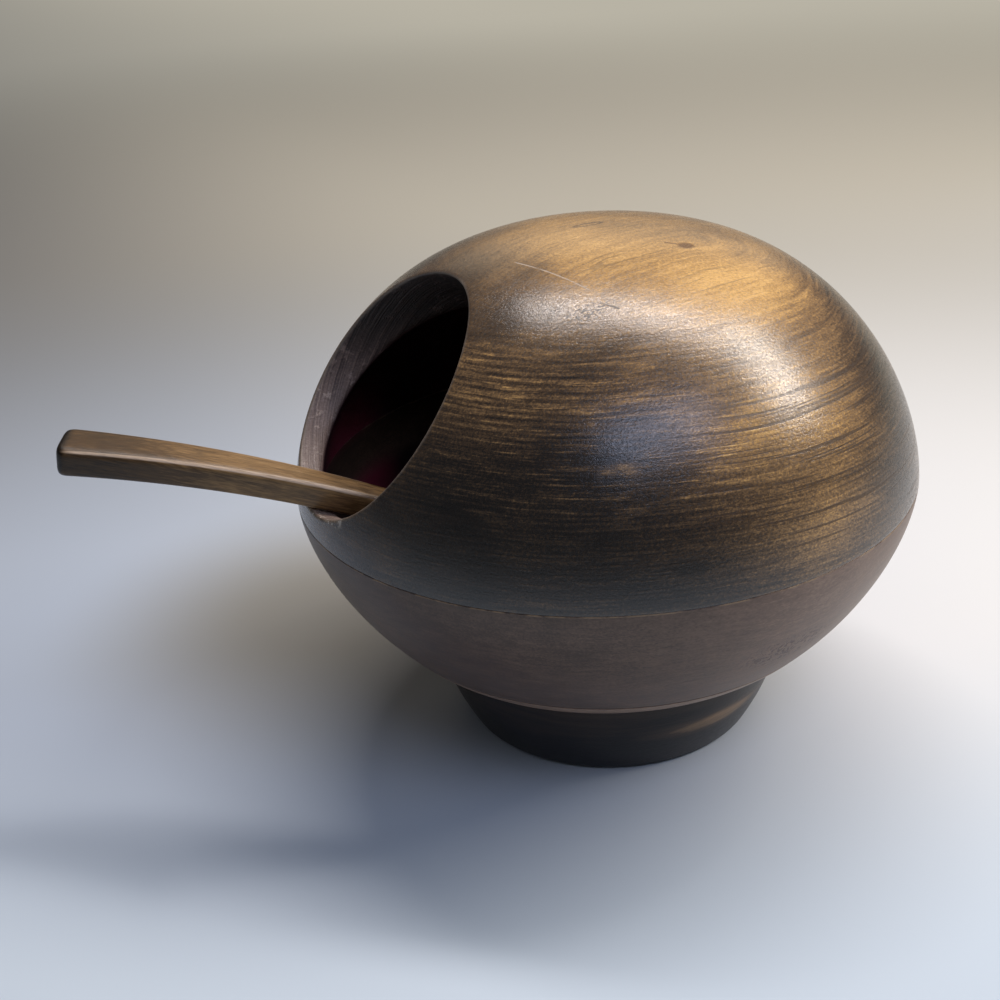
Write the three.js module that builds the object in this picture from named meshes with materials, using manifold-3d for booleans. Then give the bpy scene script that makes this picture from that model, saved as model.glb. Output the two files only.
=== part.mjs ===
// A turned wooden salt bowl with a slanted round mouth and a small carved spoon.
// Millimetres, +Z up. The origin is the centre of the foot's underside, and the mouth faces -X.
import * as THREE from 'three';
import Module from 'manifold-3d';
import { mergeVertices } from 'three/addons/utils/BufferGeometryUtils.js';

const wasm = await Module();
wasm.setup();

// Outside of the bowl
const bodyRadius = 63.5; // at the seam, the widest place
const footHeight = 22.9; // floor to the flat underside of the bowl
const seamRise = 32.3; // underside of the bowl to the seam
const domeRise = 49.6; // seam to the top of the dome
const domeRound = { across: 2.5, up: 1.71 }; // exponents of the dome's curve
const bellyRound = { across: 1.96, up: 1.59 }; // exponents of the lower curve
const bellyReach = 50.8; // seam to where the lower curve would close, below the foot joint

// Turned band round the lower edge
const bandRise = 4.1; // height of the bevelled band above the underside
const bandEdgeInset = 0.4; // how far the underside's edge lies inside the lower curve
const creaseDepth = 0.4; // fine turned line above the band

// Hollow
const seamWall = 5; // wall at the seam
const domeWall = 12.8; // wall at the top of the dome
const bottomThickness = 9; // wood under the hollow
const hollowRound = { across: 2.3, up: 2.1 }; // exponents of the hollow's floor

// Mouth, a flared round bore through the upper half
const mouthRadius = 25.8; // at the gauge distance from the centre line
const mouthGauge = 54.1; // along the mouth's axis, from where it crosses the centre line
const mouthFlare = 10.2; // degrees that the bore opens outwards, each side
const mouthTilt = 28.5; // degrees above level
const mouthRise = 0.9; // seam to where the mouth's axis crosses the centre line
const mouthSideways = 1.7; // the axis lies this far to +Y

// Foot
const footTopRadius = 38.5;
const footBaseRadius = 31.3;
const footBulge = 1.3; // how far the foot's side swells beyond a straight line
const footEdge = 0.8; // small bevel at the floor
const spigotRadius = 18; // short round tenon that centres the foot
const spigotRise = 2.4;
const glueGap = 0.3;

// Spoon
const spoonHeading = 156.5; // degrees from +X, the way the handle points
const spoonSideways = 2.2; // the handle crosses the lip this far to +Y of its lowest point
const handleReach = 45.5; // lip to the end of the handle, along it
const handleArc = 290; // radius of the handle's gentle arch
const handleEnd = { width: 10.4, thickness: 6 };
const neck = { width: 5.6, thickness: 5.6, inside: 14 }; // narrowest, this far inside the lip
const handleSquareness = 5; // exponent of the handle's section, 2 is an oval
const handleCorner = 2.2; // rounding of the handle's end, seen from above
const scoopLength = 38;
const scoopWidth = 28;
const scoopDepth = 10; // rim to the outside of the belly
const scoopWall = 2.2;
const scoopInside = 57; // lip to the near end of the scoop
const scoopLevel = 18; // degrees that the scoop is turned up from the handle's line
const shoulder = 9; // length over which the handle's section becomes the scoop's
const spoonRest = 0.3; // gap where the spoon rests on the lip and on the hollow's floor

// Fineness of the faceted surfaces
const roundSteps = 72;
const domeSteps = 12;
const hollowSteps = 9;
const scoopSteps = 14;
const handleSteps = 9;
const sectionSteps = 8; // across the upper side, and again across the lower
const leanSteps = 24; // sections tried against the lip, and against the floor

const rad = THREE.MathUtils.degToRad;
const underside = footHeight;
const seam = underside + seamRise;
const dome = seam + domeRise;
const hollowTop = dome - domeWall;
const hollowFloor = underside + bottomThickness;
const hollowRadius = bodyRadius - seamWall;

const woods = {
  upper: new THREE.MeshStandardMaterial({ color: 0x4a3524, roughness: 0.38, metalness: 0 }),
  lower: new THREE.MeshStandardMaterial({ color: 0x47392f, roughness: 0.45, metalness: 0 }),
  foot: new THREE.MeshStandardMaterial({ color: 0x2a1f19, roughness: 0.35, metalness: 0 }),
  spoon: new THREE.MeshStandardMaterial({ color: 0x6b4c36, roughness: 0.5, metalness: 0 }),
};

// A quarter of a rounded curve: full radius at turn 0, on the axis at turn 1
function quarter(radius, rise, base, round, turn) {
  const angle = (turn * Math.PI) / 2;
  const across = radius * Math.cos(angle) ** (2 / round.across);
  return new THREE.Vector2(turn === 1 ? 0 : across, base + rise * Math.sin(angle) ** (2 / round.up));
}

function quarterRun(radius, rise, base, round, steps) {
  return Array.from({ length: steps + 1 }, (_, i) => quarter(radius, rise, base, round, i / steps));
}

// Radius of such a quarter at one height
function quarterRadius(radius, rise, base, round, height) {
  const share = Math.abs((height - base) / rise) ** round.up;
  return radius * Math.max(0, 1 - share) ** (1 / round.across);
}

// Position only, shared corners merged and empty triangles dropped
function weld(geometry) {
  const bare = geometry.clone();
  for (const name of Object.keys(bare.attributes)) {
    if (name !== 'position') bare.deleteAttribute(name);
  }
  const merged = mergeVertices(bare, 1e-4);
  const kept = [];
  const index = merged.index.array;
  for (let i = 0; i < index.length; i += 3) {
    const [a, b, c] = [index[i], index[i + 1], index[i + 2]];
    if (a !== b && b !== c && a !== c) kept.push(a, b, c);
  }
  merged.setIndex(kept);
  return merged;
}

function turned(profile) {
  return weld(new THREE.LatheGeometry(profile, roundSteps).rotateX(Math.PI / 2));
}

function solidOf(geometry) {
  const vertProperties = new Float32Array(geometry.attributes.position.array);
  return new wasm.Manifold(new wasm.Mesh({ numProp: 3, vertProperties, triVerts: new Uint32Array(geometry.index.array) }));
}

function geometryOf(solid) {
  const mesh = solid.getMesh();
  const geometry = new THREE.BufferGeometry();
  geometry.setAttribute('position', new THREE.BufferAttribute(new Float32Array(mesh.vertProperties), 3));
  geometry.setIndex([...mesh.triVerts]);
  return geometry;
}

function named(name, geometry, material) {
  const flat = geometry.toNonIndexed();
  flat.computeVertexNormals();
  const mesh = new THREE.Mesh(flat, material);
  mesh.name = name;
  return mesh;
}

// Mouth: its axis, and the bore's radius at a distance along it
const mouthOrigin = new THREE.Vector3(0, mouthSideways, seam + mouthRise);
const mouthAxis = new THREE.Vector3(-Math.cos(rad(mouthTilt)), 0, Math.sin(rad(mouthTilt)));
const boreRadius = (along) => mouthRadius + (along - mouthGauge) * Math.tan(rad(mouthFlare));

function mouthCutter() {
  const start = mouthGauge - bodyRadius * 0.7;
  const end = mouthGauge + bodyRadius * 0.5;
  const profile = [
    new THREE.Vector2(0, start),
    new THREE.Vector2(boreRadius(start), start),
    new THREE.Vector2(boreRadius(end), end),
    new THREE.Vector2(0, end),
  ];
  const cutter = turned(profile);
  const turn = new THREE.Quaternion().setFromUnitVectors(new THREE.Vector3(0, 0, 1), mouthAxis);
  return cutter.applyQuaternion(turn).translate(...mouthOrigin.toArray());
}

function upperBody() {
  const inside = quarterRun(hollowRadius, hollowTop - seam, seam, domeRound, hollowSteps).reverse();
  const outside = quarterRun(bodyRadius, domeRise, seam, domeRound, domeSteps);
  const shell = solidOf(turned([...inside, ...outside]));
  return geometryOf(shell.subtract(solidOf(mouthCutter())));
}

function lowerBody() {
  const bandTop = underside + bandRise;
  const bellyAt = (height) => quarterRadius(bodyRadius, -bellyReach, seam, bellyRound, height);
  const recessRadius = spigotRadius + glueGap;
  const recessTop = underside + spigotRise + glueGap;
  const start = [
    new THREE.Vector2(0, recessTop),
    new THREE.Vector2(recessRadius, recessTop),
    new THREE.Vector2(recessRadius, underside),
    new THREE.Vector2(bellyAt(underside) - bandEdgeInset, underside),
    new THREE.Vector2(bellyAt(bandTop) - creaseDepth, bandTop - creaseDepth / 2),
  ];
  const belly = [];
  const turnAtBand = Math.asin(((seam - bandTop) / bellyReach) ** (bellyRound.up / 2)) / (Math.PI / 2);
  for (let i = domeSteps; i >= 0; i -= 1) {
    belly.push(quarter(bodyRadius, -bellyReach, seam, bellyRound, (turnAtBand * i) / domeSteps));
  }
  const inside = quarterRun(hollowRadius, hollowFloor - seam, seam, hollowRound, hollowSteps);
  return turned([...start, ...belly, ...inside]);
}

function foot() {
  const slope = (footTopRadius - footBaseRadius) / footHeight;
  const side = [];
  const sideSteps = 8;
  for (let i = 1; i <= sideSteps; i += 1) {
    const share = i / sideSteps;
    const height = footEdge + (footHeight - footEdge) * share;
    const swell = footBulge * 4 * share * (1 - share);
    side.push(new THREE.Vector2(footBaseRadius + slope * height + swell, height));
  }
  const edge = [
    new THREE.Vector2(0, 0),
    new THREE.Vector2(footBaseRadius - footEdge, 0),
    new THREE.Vector2(footBaseRadius + slope * footEdge, footEdge),
  ];
  const tenon = [
    new THREE.Vector2(spigotRadius, footHeight),
    new THREE.Vector2(spigotRadius, footHeight + spigotRise),
    new THREE.Vector2(0, footHeight + spigotRise),
  ];
  return turned([...edge, ...side, ...tenon]);
}

// Spoon. Along runs on the middle of its upper face, from 0 at the lip, outwards to the handle's
// end and inwards, below zero, to the scoop's tip.
const scoopBack = -scoopInside;
const scoopTip = scoopBack - scoopLength;
const scoopMiddle = (scoopBack + scoopTip) / 2;
const smooth = THREE.MathUtils.smoothstep;
const lerp = THREE.MathUtils.lerp;

// Direction of the upper face, in radians from its direction at the lip
function spoonTurn(along) {
  const arch = -Math.max(along, scoopBack) / handleArc;
  return arch - rad(scoopLevel) * smooth(-along, neck.inside, scoopInside + shoulder);
}

// Out and up of the upper face's middle line, summed in short straight steps
function spoonLine(along) {
  const steps = 48;
  const place = new THREE.Vector2();
  for (let i = 0; i < steps; i += 1) {
    const turn = spoonTurn((along * (i + 0.5)) / steps);
    place.x += (along / steps) * Math.cos(turn);
    place.y += (along / steps) * Math.sin(turn);
  }
  return place;
}

const power = (value, exponent) => Math.sign(value) * Math.abs(value) ** exponent;

// Handle: a rounded rectangle that hangs below the line
function handlePoint(along, angle) {
  const share = (along + neck.inside) / (handleReach + neck.inside);
  const width = lerp(neck.width, handleEnd.width, Math.max(share, 0));
  const thickness = lerp(neck.thickness, handleEnd.thickness, Math.max(share, 0));
  const past = THREE.MathUtils.clamp(along - (handleReach - handleCorner), 0, handleCorner);
  const corner = handleCorner - Math.sqrt(handleCorner ** 2 - past ** 2);
  const x = (width / 2 - corner) * power(Math.cos(angle), 2 / handleSquareness);
  const y = (thickness / 2) * (power(Math.sin(angle), 2 / handleSquareness) - 1);
  return new THREE.Vector2(x, y);
}

// Scoop: an oval shell whose rim lies on the line
function scoopPoint(along, angle) {
  const half = scoopLength / 2;
  const outer = Math.sqrt(Math.max(0, 1 - ((along - scoopMiddle) / half) ** 2));
  const inner = Math.sqrt(Math.max(0, 1 - ((along - scoopMiddle) / (half - scoopWall)) ** 2));
  const outerHalf = (scoopWidth / 2) * outer;
  if (Math.sin(angle) < 0) {
    return new THREE.Vector2(outerHalf * Math.cos(angle), scoopDepth * outer * Math.sin(angle));
  }
  const innerHalf = outerHalf - Math.min(scoopWall, outerHalf * 0.4);
  return new THREE.Vector2(innerHalf * Math.cos(angle), -(scoopDepth - scoopWall) * inner * Math.sin(angle));
}

// One closed section: the upper side from right to left, then the lower side back
function spoonSection(along) {
  const scooped = smooth(-along, scoopInside - shoulder / 2, scoopInside + shoulder / 2);
  const place = spoonLine(along);
  const turn = spoonTurn(along);
  const section = [];
  for (const side of [0, 1]) {
    for (let i = 0; i <= sectionSteps; i += 1) {
      const angle = Math.PI * (side + (i + 0.5) / (sectionSteps + 1));
      const stick = handlePoint(Math.max(along, scoopBack), angle);
      const point = stick.lerp(scoopPoint(along, angle), scooped);
      section.push(new THREE.Vector3(
        place.x - point.y * Math.sin(turn),
        point.x,
        place.y + point.y * Math.cos(turn),
      ));
    }
  }
  return section;
}

const run = (from, to, steps) => Array.from({ length: steps + 1 }, (_, i) => lerp(from, to, i / steps));

function spoonPlaces() {
  const places = [];
  for (let i = 0; i <= scoopSteps; i += 1) {
    const angle = lerp(0.06, 1, i / scoopSteps) * Math.PI;
    places.push(scoopMiddle - (scoopLength / 2) * Math.cos(angle));
  }
  const straight = handleReach - handleCorner;
  for (let i = 1; i <= handleSteps; i += 1) places.push(lerp(scoopBack, straight, i / handleSteps));
  for (const share of [0.5, 0.87, 1]) places.push(straight + handleCorner * share);
  return places;
}

// A skin over sections of equal count, closed at both ends by a fan
function lofted(sections) {
  const count = sections[0].length;
  const index = [];
  const corner = (s, i) => s * count + (i % count);
  for (let s = 0; s + 1 < sections.length; s += 1) {
    for (let i = 0; i < count; i += 1) {
      index.push(corner(s, i), corner(s + 1, i + 1), corner(s + 1, i));
      index.push(corner(s, i), corner(s, i + 1), corner(s + 1, i + 1));
    }
  }
  const last = sections.length - 1;
  const middles = [sections[0], sections[last]].map((section) => (
    section.reduce((sum, point) => sum.add(point), new THREE.Vector3()).divideScalar(count)));
  const first = sections.length * count;
  for (let i = 0; i < count; i += 1) {
    index.push(first, corner(0, i + 1), corner(0, i));
    index.push(first + 1, corner(last, i), corner(last, i + 1));
  }
  const points = [...sections.flat(), ...middles];
  const geometry = new THREE.BufferGeometry().setFromPoints(points);
  geometry.setIndex(index);
  return weld(geometry);
}

// Lowest point of the mouth's edge, found along the bore's lowest line
function mouthLip() {
  const down = new THREE.Vector3(-Math.sin(rad(mouthTilt)), 0, -Math.cos(rad(mouthTilt)));
  const at = (along) => mouthOrigin.clone().addScaledVector(mouthAxis, along).addScaledVector(down, boreRadius(along));
  const outside = (p) => Math.hypot(p.x, p.y) > quarterRadius(bodyRadius, domeRise, seam, domeRound, p.z);
  let [low, high] = [0, bodyRadius * 1.5];
  for (let i = 0; i < 40; i += 1) {
    const middle = (low + high) / 2;
    if (outside(at(middle))) high = middle;
    else low = middle;
  }
  return at(low);
}

// Turns the spoon about the lip, rolled so that it lies flush on the bore, at a height over the lip
function spoonPlace(pitch, lift) {
  const lip = mouthLip();
  const roll = Math.asin(spoonSideways / mouthRadius);
  return new THREE.Matrix4()
    .makeTranslation(lip.x, lip.y + spoonSideways, lip.z + lift)
    .multiply(new THREE.Matrix4().makeRotationZ(rad(spoonHeading)))
    .multiply(new THREE.Matrix4().makeRotationY(-pitch))
    .multiply(new THREE.Matrix4().makeRotationX(-roll));
}

// Least gap from the spoon's points to the bore, counting those within the bowl's wall
function gapAtLip(points, place) {
  const point = new THREE.Vector3();
  let least = Infinity;
  for (const local of points) {
    point.copy(local).applyMatrix4(place);
    const reach = Math.hypot(point.x, point.y);
    const outer = quarterRadius(bodyRadius, domeRise, seam, domeRound, point.z);
    const inner = quarterRadius(hollowRadius, hollowTop - seam, seam, domeRound, point.z);
    if (reach > inner - spoonRest && reach < outer + spoonRest) {
      const along = point.sub(mouthOrigin).dot(mouthAxis);
      least = Math.min(least, boreRadius(along) - Math.sqrt(point.lengthSq() - along ** 2));
    }
  }
  return least;
}

// Least upright gap from the spoon's points to the hollow's floor
function gapAtFloor(points, place) {
  const point = new THREE.Vector3();
  let least = Infinity;
  for (const local of points) {
    point.copy(local).applyMatrix4(place);
    const share = Math.hypot(point.x, point.y) / hollowRadius;
    if (share < 0.9 && point.z < seam) {
      const depth = (1 - share ** hollowRound.across) ** (1 / hollowRound.up);
      least = Math.min(least, point.z - (seam - (seam - hollowFloor) * depth));
    }
  }
  return least;
}

// The value between low and high where a rising test first reaches the goal
function solve(low, high, goal, test) {
  for (let i = 0; i < 30; i += 1) {
    const middle = (low + high) / 2;
    if (test(middle) < goal) low = middle;
    else high = middle;
  }
  return high;
}

// The spoon leans on the lip and its scoop lies on the floor of the hollow
function restingSpoon() {
  const lipPoints = run(-2 * seamWall, 2 * seamWall, leanSteps).flatMap(spoonSection);
  const scoopPoints = run(scoopTip, scoopBack, leanSteps).flatMap(spoonSection);
  const liftAt = (pitch) => solve(0, mouthRadius, spoonRest, (lift) => gapAtLip(lipPoints, spoonPlace(pitch, lift)));
  const floorGap = (pitch) => gapAtFloor(scoopPoints, spoonPlace(pitch, liftAt(pitch)));
  const pitch = -solve(rad(-60), rad(10), spoonRest, (turn) => floorGap(-turn));
  return spoonPlace(pitch, liftAt(pitch));
}

function spoon() {
  return lofted(spoonPlaces().map(spoonSection)).applyMatrix4(restingSpoon());
}

const saltBowl = new THREE.Group();
saltBowl.add(named('upper_body', upperBody(), woods.upper));
saltBowl.add(named('lower_body', lowerBody(), woods.lower));
saltBowl.add(named('foot', foot(), woods.foot));
saltBowl.add(named('spoon', spoon(), woods.spoon));

export default saltBowl;
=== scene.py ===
import math
from types import SimpleNamespace
import bmesh
import bpy
import numpy as np
from mathutils import Matrix, Vector


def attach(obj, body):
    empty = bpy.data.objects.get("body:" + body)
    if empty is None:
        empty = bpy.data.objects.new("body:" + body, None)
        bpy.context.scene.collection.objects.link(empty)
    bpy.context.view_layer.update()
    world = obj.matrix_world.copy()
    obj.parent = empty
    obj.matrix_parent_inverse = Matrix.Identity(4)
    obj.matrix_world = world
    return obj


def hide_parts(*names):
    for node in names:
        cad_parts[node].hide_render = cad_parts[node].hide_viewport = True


# A turned salt bowl of stained wood with a slanted mouth, and its little carved spoon.
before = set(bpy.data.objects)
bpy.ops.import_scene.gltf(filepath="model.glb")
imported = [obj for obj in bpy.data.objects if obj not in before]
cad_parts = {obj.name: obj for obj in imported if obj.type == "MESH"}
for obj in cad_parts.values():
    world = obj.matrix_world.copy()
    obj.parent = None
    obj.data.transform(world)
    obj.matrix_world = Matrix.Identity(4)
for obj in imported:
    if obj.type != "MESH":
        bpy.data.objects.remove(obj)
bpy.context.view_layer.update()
mm = 0.001


# Wiring: a socket that adds and multiplies as a number does, and one way to add a node

class Wire:
    def __init__(self, desk, socket):
        self.desk = desk
        self.socket = socket

    def __add__(self, other):
        return maths("ADD", self, other)

    def __radd__(self, other):
        return maths("ADD", other, self)

    def __sub__(self, other):
        return maths("SUBTRACT", self, other)

    def __rsub__(self, other):
        return maths("SUBTRACT", other, self)

    def __mul__(self, other):
        return maths("MULTIPLY", self, other)

    def __rmul__(self, other):
        return maths("MULTIPLY", other, self)

    def __truediv__(self, other):
        return maths("DIVIDE", self, other)

    def __rtruediv__(self, other):
        return maths("DIVIDE", other, self)

    def __pow__(self, other):
        return maths("POWER", self, other)


class Desk:
    def __init__(self, tree):
        self.tree = tree

    def add(self, kind, settings=None, sockets=None, output=0):
        node = self.tree.nodes.new(kind)
        for name, value in (settings or {}).items():
            if name == "stops":
                self.fillRamp(node.color_ramp, value)
            else:
                setattr(node, name, value)
        for name, value in (sockets or {}).items():
            if isinstance(value, Wire):
                self.tree.links.new(value.socket, node.inputs[name])
            else:
                node.inputs[name].default_value = value
        return Wire(self, node.outputs[output]) if len(node.outputs) else node

    def fillRamp(self, ramp, stops):
        while len(ramp.elements) < len(stops):
            ramp.elements.new(0.5)
        for element, (place, colour) in zip(ramp.elements, stops):
            element.position = place
            element.color = (*colour, 1)


def maths(operation, *values):
    desk = next(value.desk for value in values if isinstance(value, Wire))
    return desk.add("ShaderNodeMath", {"operation": operation}, dict(enumerate(values)))


def larger(a, b):
    return maths("MAXIMUM", a, b)


def clamped(value):
    return value.desk.add("ShaderNodeClamp", {}, {"Value": value})


def eased(value, start, end):
    sockets = {"Value": value, "From Min": start, "From Max": end}
    return value.desk.add("ShaderNodeMapRange", {"interpolation_type": "SMOOTHSTEP"}, sockets)


def between(a, b, share):
    return a + (b - a) * share


def joined(desk, x, y, z):
    return desk.add("ShaderNodeCombineXYZ", {}, {"X": x, "Y": y, "Z": z})


def split(vector):
    node = vector.desk.add("ShaderNodeSeparateXYZ", {}, {"Vector": vector}).socket.node
    return [Wire(vector.desk, node.outputs[name]) for name in "XYZ"]


def vectors(operation, a, b, output=0):
    return a.desk.add("ShaderNodeVectorMath", {"operation": operation}, {0: a, 1: b}, output)


def noise(vector, scale, detail=2.0, rough=0.5):
    sockets = {"Vector": vector, "Scale": scale, "Detail": detail, "Roughness": rough}
    return vector.desk.add("ShaderNodeTexNoise", {}, sockets)


def varied(pattern, amount):
    # A pattern from 0 to 1, made to swing about 0
    return (pattern - 0.5) * amount


# Geometry trees

def geometryTree(name, inputs, outputs):
    tree = bpy.data.node_groups.new(name, "GeometryNodeTree")
    for label, value in inputs.items():
        kind = "NodeSocketInt" if isinstance(value, int) else "NodeSocketFloat"
        if value is None:
            kind = "NodeSocketGeometry"
        if isinstance(value, bpy.types.Material):
            kind = "NodeSocketMaterial"
        socket = tree.interface.new_socket(label, in_out="INPUT", socket_type=kind)
        if value is not None:
            socket.default_value = value
    for label, kind in outputs.items():
        tree.interface.new_socket(label, in_out="OUTPUT", socket_type="NodeSocket" + kind)
    desk = Desk(tree)
    node = tree.nodes.new("NodeGroupInput")
    return desk, {label: Wire(desk, node.outputs[label]) for label in inputs}


def shapedBy(name, tree, mesh, sizes):
    # Runs a tree on a mesh and keeps the result as plain mesh
    piece = bpy.data.objects.new(name, mesh)
    bpy.context.collection.objects.link(piece)
    modifier = piece.modifiers.new("shape", "NODES")
    modifier.node_group = tree
    for item in tree.interface.items_tree:
        if item.in_out == "INPUT" and item.name in sizes:
            modifier[item.identifier] = sizes[item.name]
    piece.update_tag()
    shaped = bpy.data.meshes.new_from_object(piece.evaluated_get(bpy.context.evaluated_depsgraph_get()))
    piece.modifiers.remove(modifier)
    piece.data = shaped
    shaped.name = name
    shaped.set_sharp_from_angle(angle=math.radians(50))
    return piece


def handWorn(desk, position, sizes):
    # Draws the surface in towards the middle by a little, unevenly, as hand sanding does
    x, y, z = split(position)
    wave = noise(position, sizes["Wave Scale"], 1.0) * sizes["Wave Depth"]
    keep = 1 - wave
    middle = sizes["Seam Height"]
    return joined(desk, x * keep, y * keep, middle + (z - middle) * keep)


# The bowl's sizes, in millimetres and degrees

bowl = {
    "radius": 63.5, "underside": 22.9, "seamRise": 32.3,
    "domeRise": 49.6, "domeAcross": 2.5, "domeUp": 1.71,
    "bellyReach": 50.8, "bellyAcross": 1.96, "bellyUp": 1.59, "bellySteps": 72,
    "bandRise": 4.1, "bandInset": 0.4, "bandSwell": 0.25, "crease": 0.45,
    "seamWall": 5.0, "domeWall": 12.8, "bottom": 9.0, "recessGap": 0.3,
    "hollowAcross": 2.3, "hollowUp": 2.1, "hollowSteps": 40,
    "seamBevel": 0.09, "waveScale": 42.0, "waveDepth": 0.0022, "around": 288,
}
seam = bowl["underside"] + bowl["seamRise"]
bandTop = bowl["underside"] + bowl["bandRise"]
hollowRadius = bowl["radius"] - bowl["seamWall"]
hollowRise = bowl["domeRise"] - bowl["domeWall"]
hollowFloor = bowl["underside"] + bowl["bottom"]

# The flow point and the outside's end are shares of the way from the dome's top to the seam
mouth = {
    "radius": 25.8, "gauge": 54.1, "flare": 10.2, "tilt": 28.5, "rise": 0.9, "sideways": 1.7,
    "outerRounding": 0.8, "innerRounding": 1.6, "around": 320,
    "flow": (-0.615, 0.02), "outsideEnd": 0.995, "crowding": 1.25,
}

# Rows of faces: from the hollow's seam out through the mouth, down the outside, across the seam
rows = {"hollow": 56, "innerEdge": 5, "bore": 14, "outerEdge": 6, "outside": 112, "seam": 1, "across": 1}

# What both trees of the bore take. These are a new tree's own values, and domeSizes gives the real ones.
boreInputs = {
    "Seam Height": 0.05, "Across": 2.5, "Up": 1.7, "Bore Radius": 0.025, "Gauge": 0.05, "Flare": 0.2,
    "Tilt": 0.5, "Axis Rise": 0.001, "Sideways": 0.0,
}


def edgeTree():
    # Where the bore's side, widened by some extra, comes out through a rounded surface.
    # The stretch that it must lie in is halved again and again.
    inputs = {"Angle": 0.0, "Extra": 0.0, "Radius": 0.06, "Rise": 0.05, **boreInputs}
    desk, size = geometryTree("boreMeetsDome", inputs, {"Along": "Float", "Point": "Vector"})
    tree = desk.tree
    halvings = 26
    nearest = size["Radius"] * 0.3
    farthest = size["Radius"] * 1.6
    start = tree.nodes.new("GeometryNodeRepeatInput")
    end = tree.nodes.new("GeometryNodeRepeatOutput")
    start.pair_with_output(end)
    end.repeat_items.clear()
    end.repeat_items.new("FLOAT", "Inside")
    end.repeat_items.new("FLOAT", "Outside")
    start.inputs["Iterations"].default_value = halvings
    tree.links.new(nearest.socket, start.inputs["Inside"])
    tree.links.new(farthest.socket, start.inputs["Outside"])
    inside = Wire(desk, start.outputs["Inside"])
    outside = Wire(desk, start.outputs["Outside"])
    middle = (inside + outside) * 0.5
    x, y, z = borePoint(size, size["Angle"], middle, size["Extra"])
    reach = maths("SQRT", x * x + y * y)
    height = larger(z - size["Seam Height"], 0.0)
    level = (reach / size["Radius"]) ** size["Across"] + (height / size["Rise"]) ** size["Up"]
    out = maths("GREATER_THAN", level, 1.0)
    tree.links.new(between(middle, inside, out).socket, end.inputs["Inside"])
    tree.links.new(between(outside, middle, out).socket, end.inputs["Outside"])
    along = Wire(desk, end.outputs["Inside"])
    point = joined(desk, *borePoint(size, size["Angle"], along, size["Extra"]))
    desk.add("NodeGroupOutput", {}, {"Along": along, "Point": point})
    return tree


def borePoint(size, angle, along, extra):
    wide = size["Bore Radius"] + extra + (along - size["Gauge"]) * maths("TANGENT", size["Flare"])
    down = wide * maths("COSINE", angle)
    side = wide * maths("SINE", angle)
    level = maths("COSINE", size["Tilt"])
    steep = maths("SINE", size["Tilt"])
    x = 0 - along * level - down * steep
    y = size["Sideways"] + side
    z = size["Seam Height"] + size["Axis Rise"] + along * steep - down * level
    return x, y, z


def flowLine(size, point, surface, ringEnd, share):
    # From a point of the rim out to the seam, along the rounded surface. On a flat disc, with the
    # dome's top at its middle and the seam at its edge, the lines run straight from the flow point.
    radius, rise = surface
    quarter = math.pi / 2
    flowX = size["Flow X"]
    flowY = size["Flow Y"]
    x, y = split(point)[:2]
    reach = maths("SQRT", x * x + y * y)
    disc = maths("ARCSINE", reach / radius) / quarter
    startX = disc * x / reach
    startY = disc * y / reach
    toX = startX - flowX
    toY = startY - flowY
    length = maths("SQRT", toX * toX + toY * toY)
    unitX = toX / length
    unitY = toY / length
    lean = flowX * unitX + flowY * unitY
    room = ringEnd * ringEnd - flowX * flowX - flowY * flowY
    travel = maths("SQRT", lean * lean + room) - lean
    atX = between(startX, flowX + unitX * travel, share)
    atY = between(startY, flowY + unitY * travel, share)
    away = larger(maths("SQRT", atX * atX + atY * atY), 0.000001)
    swing = maths("SINE", away * quarter)
    left = larger(1 - swing ** size["Across"], 0.0)
    z = size["Seam Height"] + rise * left ** (1 / size["Up"])
    return atX / away * radius * swing, atY / away * radius * swing, z


def rounded(a, corner, b, share):
    # A soft corner: starts at a, is drawn towards the corner, ends at b
    rest = 1 - share
    parts = []
    for p, q, r in zip(a, corner, b):
        parts.append(rest * rest * p + 2 * rest * share * q + share * share * r)
    return parts


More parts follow.
